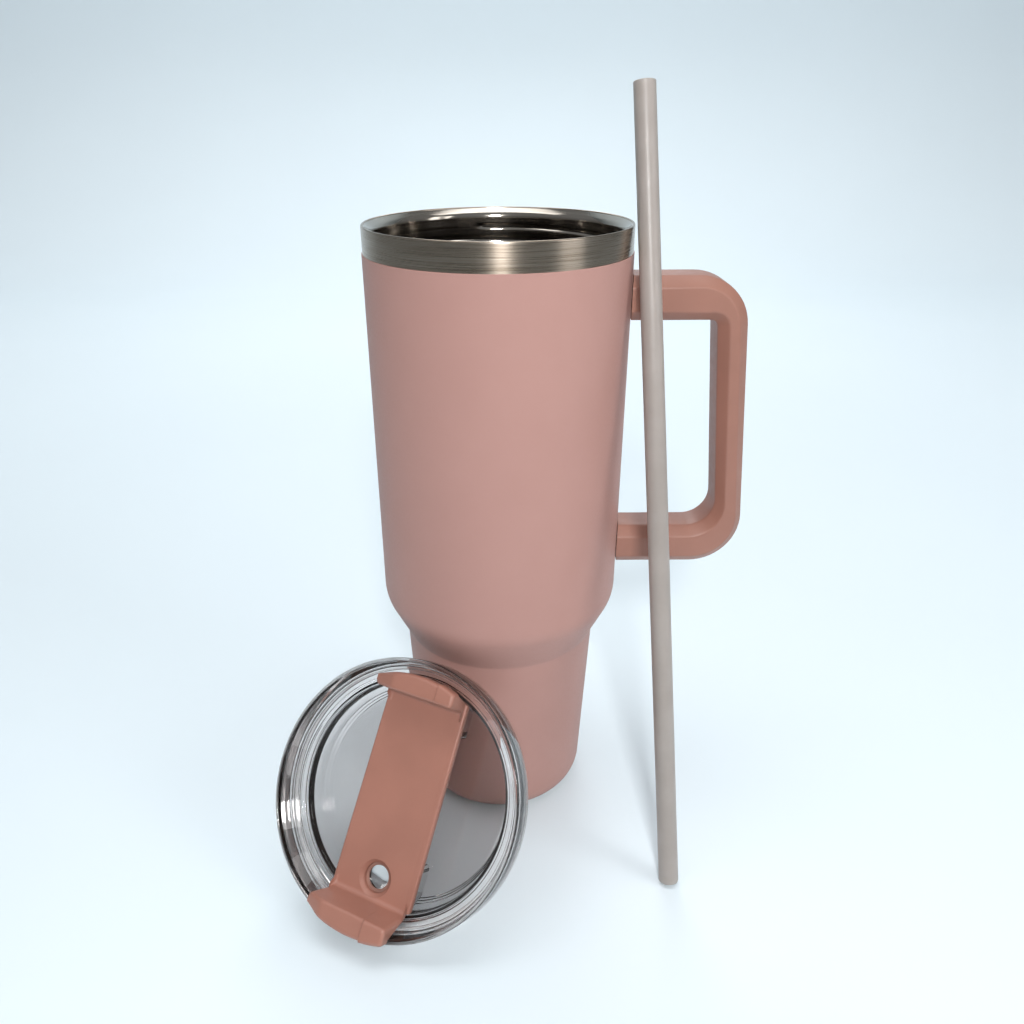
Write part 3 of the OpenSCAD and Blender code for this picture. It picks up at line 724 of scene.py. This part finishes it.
def make_gasket():
    """A seal with two lips, on a root that is moulded into the plug's wall."""
    root, outer = PLUG_IN + 0.5, BORE_R - 0.3
    half = GASKET_T / 2 - 0.05
    outline = rounded([
        (root, GASKET_W, 0.2), (PLUG_WALL_R - 0.7, GASKET_W, 0.1), (PLUG_WALL_R - 0.7, GASKET_W - half, 0.2),
        (PLUG_WALL_R + 0.1, GASKET_W - half, 0.2),
        (outer, GASKET_W - half + 0.25, 0.35), (outer, GASKET_W - 0.35, 0.35),
        (PLUG_WALL_R + 0.25, GASKET_W, 0.2), (outer, GASKET_W + 0.35, 0.35),
        (outer, GASKET_W + half - 0.25, 0.35), (PLUG_WALL_R + 0.1, GASKET_W + half, 0.2),
        (PLUG_WALL_R - 0.4, GASKET_W + half, 0.1), (PLUG_WALL_R - 0.4, -COLLAR_H - 0.2, 0.2),
        (root, -COLLAR_H - 0.2, 0.2)])
    finish_piece(turned("lid_seal_ring", outline, 160, IN_LID), "gasket_rubber", "lid", "lid_gasket")


# ---------------------------------------------------------------------------
# Rotating cover, in the lid's frame
# ---------------------------------------------------------------------------

COVER_W = 34.8
COVER_HALF = COVER_W / 2
PLATE_R = PLUG_IN - 0.5
TAB_H = 6.0
TAB_L = 8.4
LONG_TAB_R = COLLAR_R - 0.4
SHORT_TAB_R = COLLAR_R - 5.4
TAB_LOW = 0.6
LOBE = 2.6
LONG_END_IN = 1.8
SHORT_LOBE = 1.7
SHORT_END_IN = 1.0
SLOPE_DROP = 3.0
SLOPE_L = 7.0
SLOPE_SOFT = 0.5
STEP_H = 0.45
STEP_W = 0.45
STRAW_HOLE_R = 5.35
HOLE_FLARE = 1.5
BOSS_R = 6.0
INSERT_R = 3.0
INSERT_L = 7.0
PLATE_EDGE = 0.8
TAB_EDGE = 1.6
TAB_FOOT_IN = 0.9
COVER_ROOM = 0.6


def bowl_at(w):
    """Radius of the collar's sloping inside at height w, less the room that the cover keeps."""
    outer = COLLAR_R - COLLAR_EDGE
    return outer - (outer - PLUG_IN) * w / BOWL_W - COVER_ROOM


def tab_top(x, slope_x, step_x):
    """Height of a finger tab's upper face at x, with its sloping end and its step."""
    drop = SLOPE_DROP / SLOPE_L * SLOPE_SOFT * math.log1p(math.exp((-slope_x - x) / SLOPE_SOFT))
    return TAB_H - STEP_H * (1 - ease((x - step_x) / STEP_W)) - drop


def plate_loop(x):
    """Section of the cover's flat plate across x, as a closed outline of (y, z)."""
    under, level = -COVER_DEPTH - COVER_T, -COVER_DEPTH
    out, low = chord(bowl_at(level - 0.5) - 0.8, x), chord(PLATE_R, x)
    past = max(abs(x) - (COVER_HALF - PLATE_EDGE), 0)
    trim = PLATE_EDGE - math.sqrt(max(PLATE_EDGE ** 2 - past ** 2, 0))
    return rounded([(-out, level - trim, 0.3), (out, level - trim, 0.3), (low, under + trim, 0.6),
                    (-low, under + trim, 0.6)])


def tab_loop(x, r, lobe, end_in, slope_x, step_x, foot_in, foot_round):
    """Section of a finger tab across x, as a closed outline of (x, y, z).

    The tab's upper part reaches past the plate by lobe on one side, and stops short by end_in on the other.
    """
    reach = x * (1 + (lobe if x < 0 else -end_in) / COVER_HALF)
    step_out = STEP_H * (1 - ease((reach - step_x) / STEP_W))
    out, top, inner = chord(r - step_out, reach), tab_top(reach, slope_x, step_x), r - TAB_L
    level, low = -COVER_DEPTH, -COVER_DEPTH - 1.6
    lip = min(out - 0.4, chord(bowl_at(0), reach))
    section = rounded([
        (out, TAB_LOW, 0.5), (out, top, 1.6), (inner, top, 1.5), (foot_in, level, foot_round),
        (foot_in - 4, level - 0.06, 0), (foot_in - 4, low, 0), (chord(bowl_at(low), x), low, 0.3),
        (lip, TAB_LOW, 0.3)], 7)
    past = max(abs(x) - (COVER_HALF - TAB_EDGE), 0)
    trim = (TAB_EDGE - math.sqrt(max(TAB_EDGE ** 2 - past ** 2, 0))) / 5.5
    middle = Vector((r - TAB_L / 2, TAB_LOW + 1.6))
    foot = x * (1 - TAB_FOOT_IN / COVER_HALF)
    points = []
    for p in section:
        wide = ease((p.y + 6) / 5)
        q = p + (middle - p) * trim
        points.append((foot + (reach - foot) * wide, q.x, q.y))
    return points


def stations(edge, steps=()):
    """Places across the cover where it is sectioned, close together at its ends and at a step."""
    rounds = [COVER_HALF - edge * (1 - math.sin(math.radians(90 * k / 7))) for k in range(8)]
    places = {round(-COVER_HALF + edge + k * 0.6, 3) for k in range(60)}
    places |= {round(step + k * 0.09, 3) for step in steps for k in range(7)}
    places = {x for x in places if abs(x) <= COVER_HALF - edge}
    return sorted(places | {round(x, 3) for x in rounds} | {-round(x, 3) for x in rounds})


def make_cover():
    """The cover: a plate, a finger tab at each end, a boss under its middle, and the straw's hole."""
    loops = [[(x, y, z) for y, z in plate_loop(x)] for x in stations(PLATE_EDGE)]
    piece = lofted("cover_plate", loops, IN_LID)
    long_tab = [[(x, -y, z) for x, y, z in tab_loop(
        at, LONG_TAB_R, LOBE, LONG_END_IN, 12.6, 6.0, LONG_TAB_R - TAB_L - 2.6, 3.0)]
        for at in stations(TAB_EDGE, (6.6, 6.9))]
    combine(piece, lofted("long_tab", long_tab, IN_LID), "UNION")
    short_tab = [tab_loop(
        at, SHORT_TAB_R, SHORT_LOBE, SHORT_END_IN, 10.6, 8.6, SHORT_TAB_R - TAB_L - 1.6, 1.6)
        for at in stations(TAB_EDGE, (9.1, 9.4))]
    combine(piece, lofted("short_tab", short_tab, IN_LID), "UNION")
    boss_low = -FLOOR_DEPTH + 1.3
    boss_top = -COVER_DEPTH - COVER_T + 0.8
    boss = rounded([(0, boss_low, 0), (BOSS_R, boss_low, 0.4), (BOSS_R, boss_top, 0), (0, boss_top, 0)])
    combine(piece, turned("boss", boss, 96, IN_LID), "UNION")
    r, top = STRAW_HOLE_R, -COVER_DEPTH
    hole = rounded([(0, top - COVER_T - 2, 0), (r, top - COVER_T - 2, 0), (r, top - 1.3, 1.4),
                    (r + HOLE_FLARE, top + 0.05, 0), (r + HOLE_FLARE, top + 2, 0), (0, top + 2, 0)], 8)
    at = IN_LID @ Matrix.Translation((0, -OPENING_R * MM, 0))
    combine(piece, turned("straw_hole", hole, 96, at), "DIFFERENCE")
    low, high = boss_low - 1, boss_low + INSERT_L
    insert = [Vector(p) for p in ((0, low), (INSERT_R, low), (INSERT_R, high), (0, high))]
    combine(piece, turned("insert_hole", insert, 64, IN_LID), "DIFFERENCE")
    finish_piece(piece, "cover_plastic", "cover", "rotating_cover", sharp=40)


make_lid()
make_gasket()
make_cover()

# ---------------------------------------------------------------------------
# Straw
# ---------------------------------------------------------------------------

STRAW_D = 7.8
STRAW_WALL = 0.8


def make_straw():
    """The straw: a tube along its joint's axis, with its length from its CAD box and its lean."""
    axis = Vector(next(j for j in frame["joints"] if j["name"] == "straw_draw")["axis"]).normalized()
    low, high = (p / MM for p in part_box("straw"))
    lean = math.acos(axis.z)
    length = (high.z - low.z - STRAW_D * math.sin(lean)) / math.cos(lean)
    turn = axis.to_track_quat("Z", "Y").to_matrix().to_4x4()
    place = Matrix.Translation((low + high) / 2 * MM) @ turn
    out, bore, end = STRAW_D / 2, STRAW_D / 2 - STRAW_WALL, length / 2
    outline = rounded([(bore, -end, 0.3), (out, -end, 0.3), (out, end, 0.3), (bore, end, 0.3)])
    finish_piece(turned("straw_tube", outline, 64, place), "straw_plastic", "straw", "straw")


make_straw()

# ---------------------------------------------------------------------------
# Floor and light
# ---------------------------------------------------------------------------

FLOOR_FRONT = -1.25
FLOOR_WIDE = 3.0
WALL_Y = 1.6
WALL_TOP = 2.4
WALL_ROUND = 0.5


def make_floor():
    """A pale sheet that lies on the table and rises behind it in one sweep."""
    bend = arc((WALL_Y - WALL_ROUND, WALL_ROUND), WALL_ROUND, -90, 0, 16)
    sweep = [Vector((FLOOR_FRONT, 0)), Vector((0, 0))] + bend + [Vector((WALL_Y, WALL_TOP))]
    points = [(x, y, z) for y, z in sweep for x in (-FLOOR_WIDE, FLOOR_WIDE)]
    faces = [(2 * k, 2 * k + 1, 2 * k + 3, 2 * k + 2) for k in range(len(sweep) - 1)]
    mesh = bpy.data.meshes.new("floor")
    mesh.from_pydata(points, [], faces)
    mesh.shade_smooth()
    floor = bpy.data.objects.new("floor", mesh)
    bpy.context.scene.collection.objects.link(floor)
    s = Shader("floor", (0.74, 0.83, 0.88), 0.7)
    s.tint(s.noise(0.3, 2), (0.735, 0.825, 0.875), (0.745, 0.835, 0.885))
    mesh.materials.append(s.material)


def area_light(name, at, aim, size, power, spread=180):
    data = bpy.data.lights.new(name, "AREA")
    data.shape = "RECTANGLE"
    data.size, data.size_y = size
    data.energy = power
    data.spread = math.radians(spread)
    light = bpy.data.objects.new(name, data)
    light.location = at
    light.rotation_euler = (Vector(aim) - Vector(at)).to_track_quat("-Z", "Y").to_euler()
    bpy.context.scene.collection.objects.link(light)


def make_world():
    """Soft light from above, and dark below the table's level."""
    world = bpy.data.worlds.new("studio")
    bpy.context.scene.world = world
    world.use_nodes = True
    tree = world.node_tree
    up = tree.nodes.new("ShaderNodeTexCoord")
    parts = tree.nodes.new("ShaderNodeSeparateXYZ")
    ramp = tree.nodes.new("ShaderNodeValToRGB")
    ramp.color_ramp.elements[0].position = 0.0
    ramp.color_ramp.elements[0].color = (0.1, 0.1, 0.1, 1)
    ramp.color_ramp.elements[1].position = 0.5
    ramp.color_ramp.elements[1].color = (0.25, 0.26, 0.27, 1)
    tree.links.new(up.outputs["Generated"], parts.inputs["Vector"])
    tree.links.new(parts.outputs["Z"], ramp.inputs["Fac"])
    tree.links.new(ramp.outputs["Color"], tree.nodes["Background"].inputs["Color"])


make_floor()
make_world()
area_light("key", (0.03, -0.6, 0.55), (0, 0, 0.14), (0.1, 0.1), 3.7)
area_light("right", (0.9, -0.5, 0.6), (0, 0, 0.1), (0.4, 0.6), 2.6)
area_light("back", (0, 1.1, 1.0), (0, 0, 0.12), (0.6, 0.4), 4)
area_light("top", (0, 0.2, 2.6), (0, 1.4, 0.5), (3, 1.2), 22, 110)
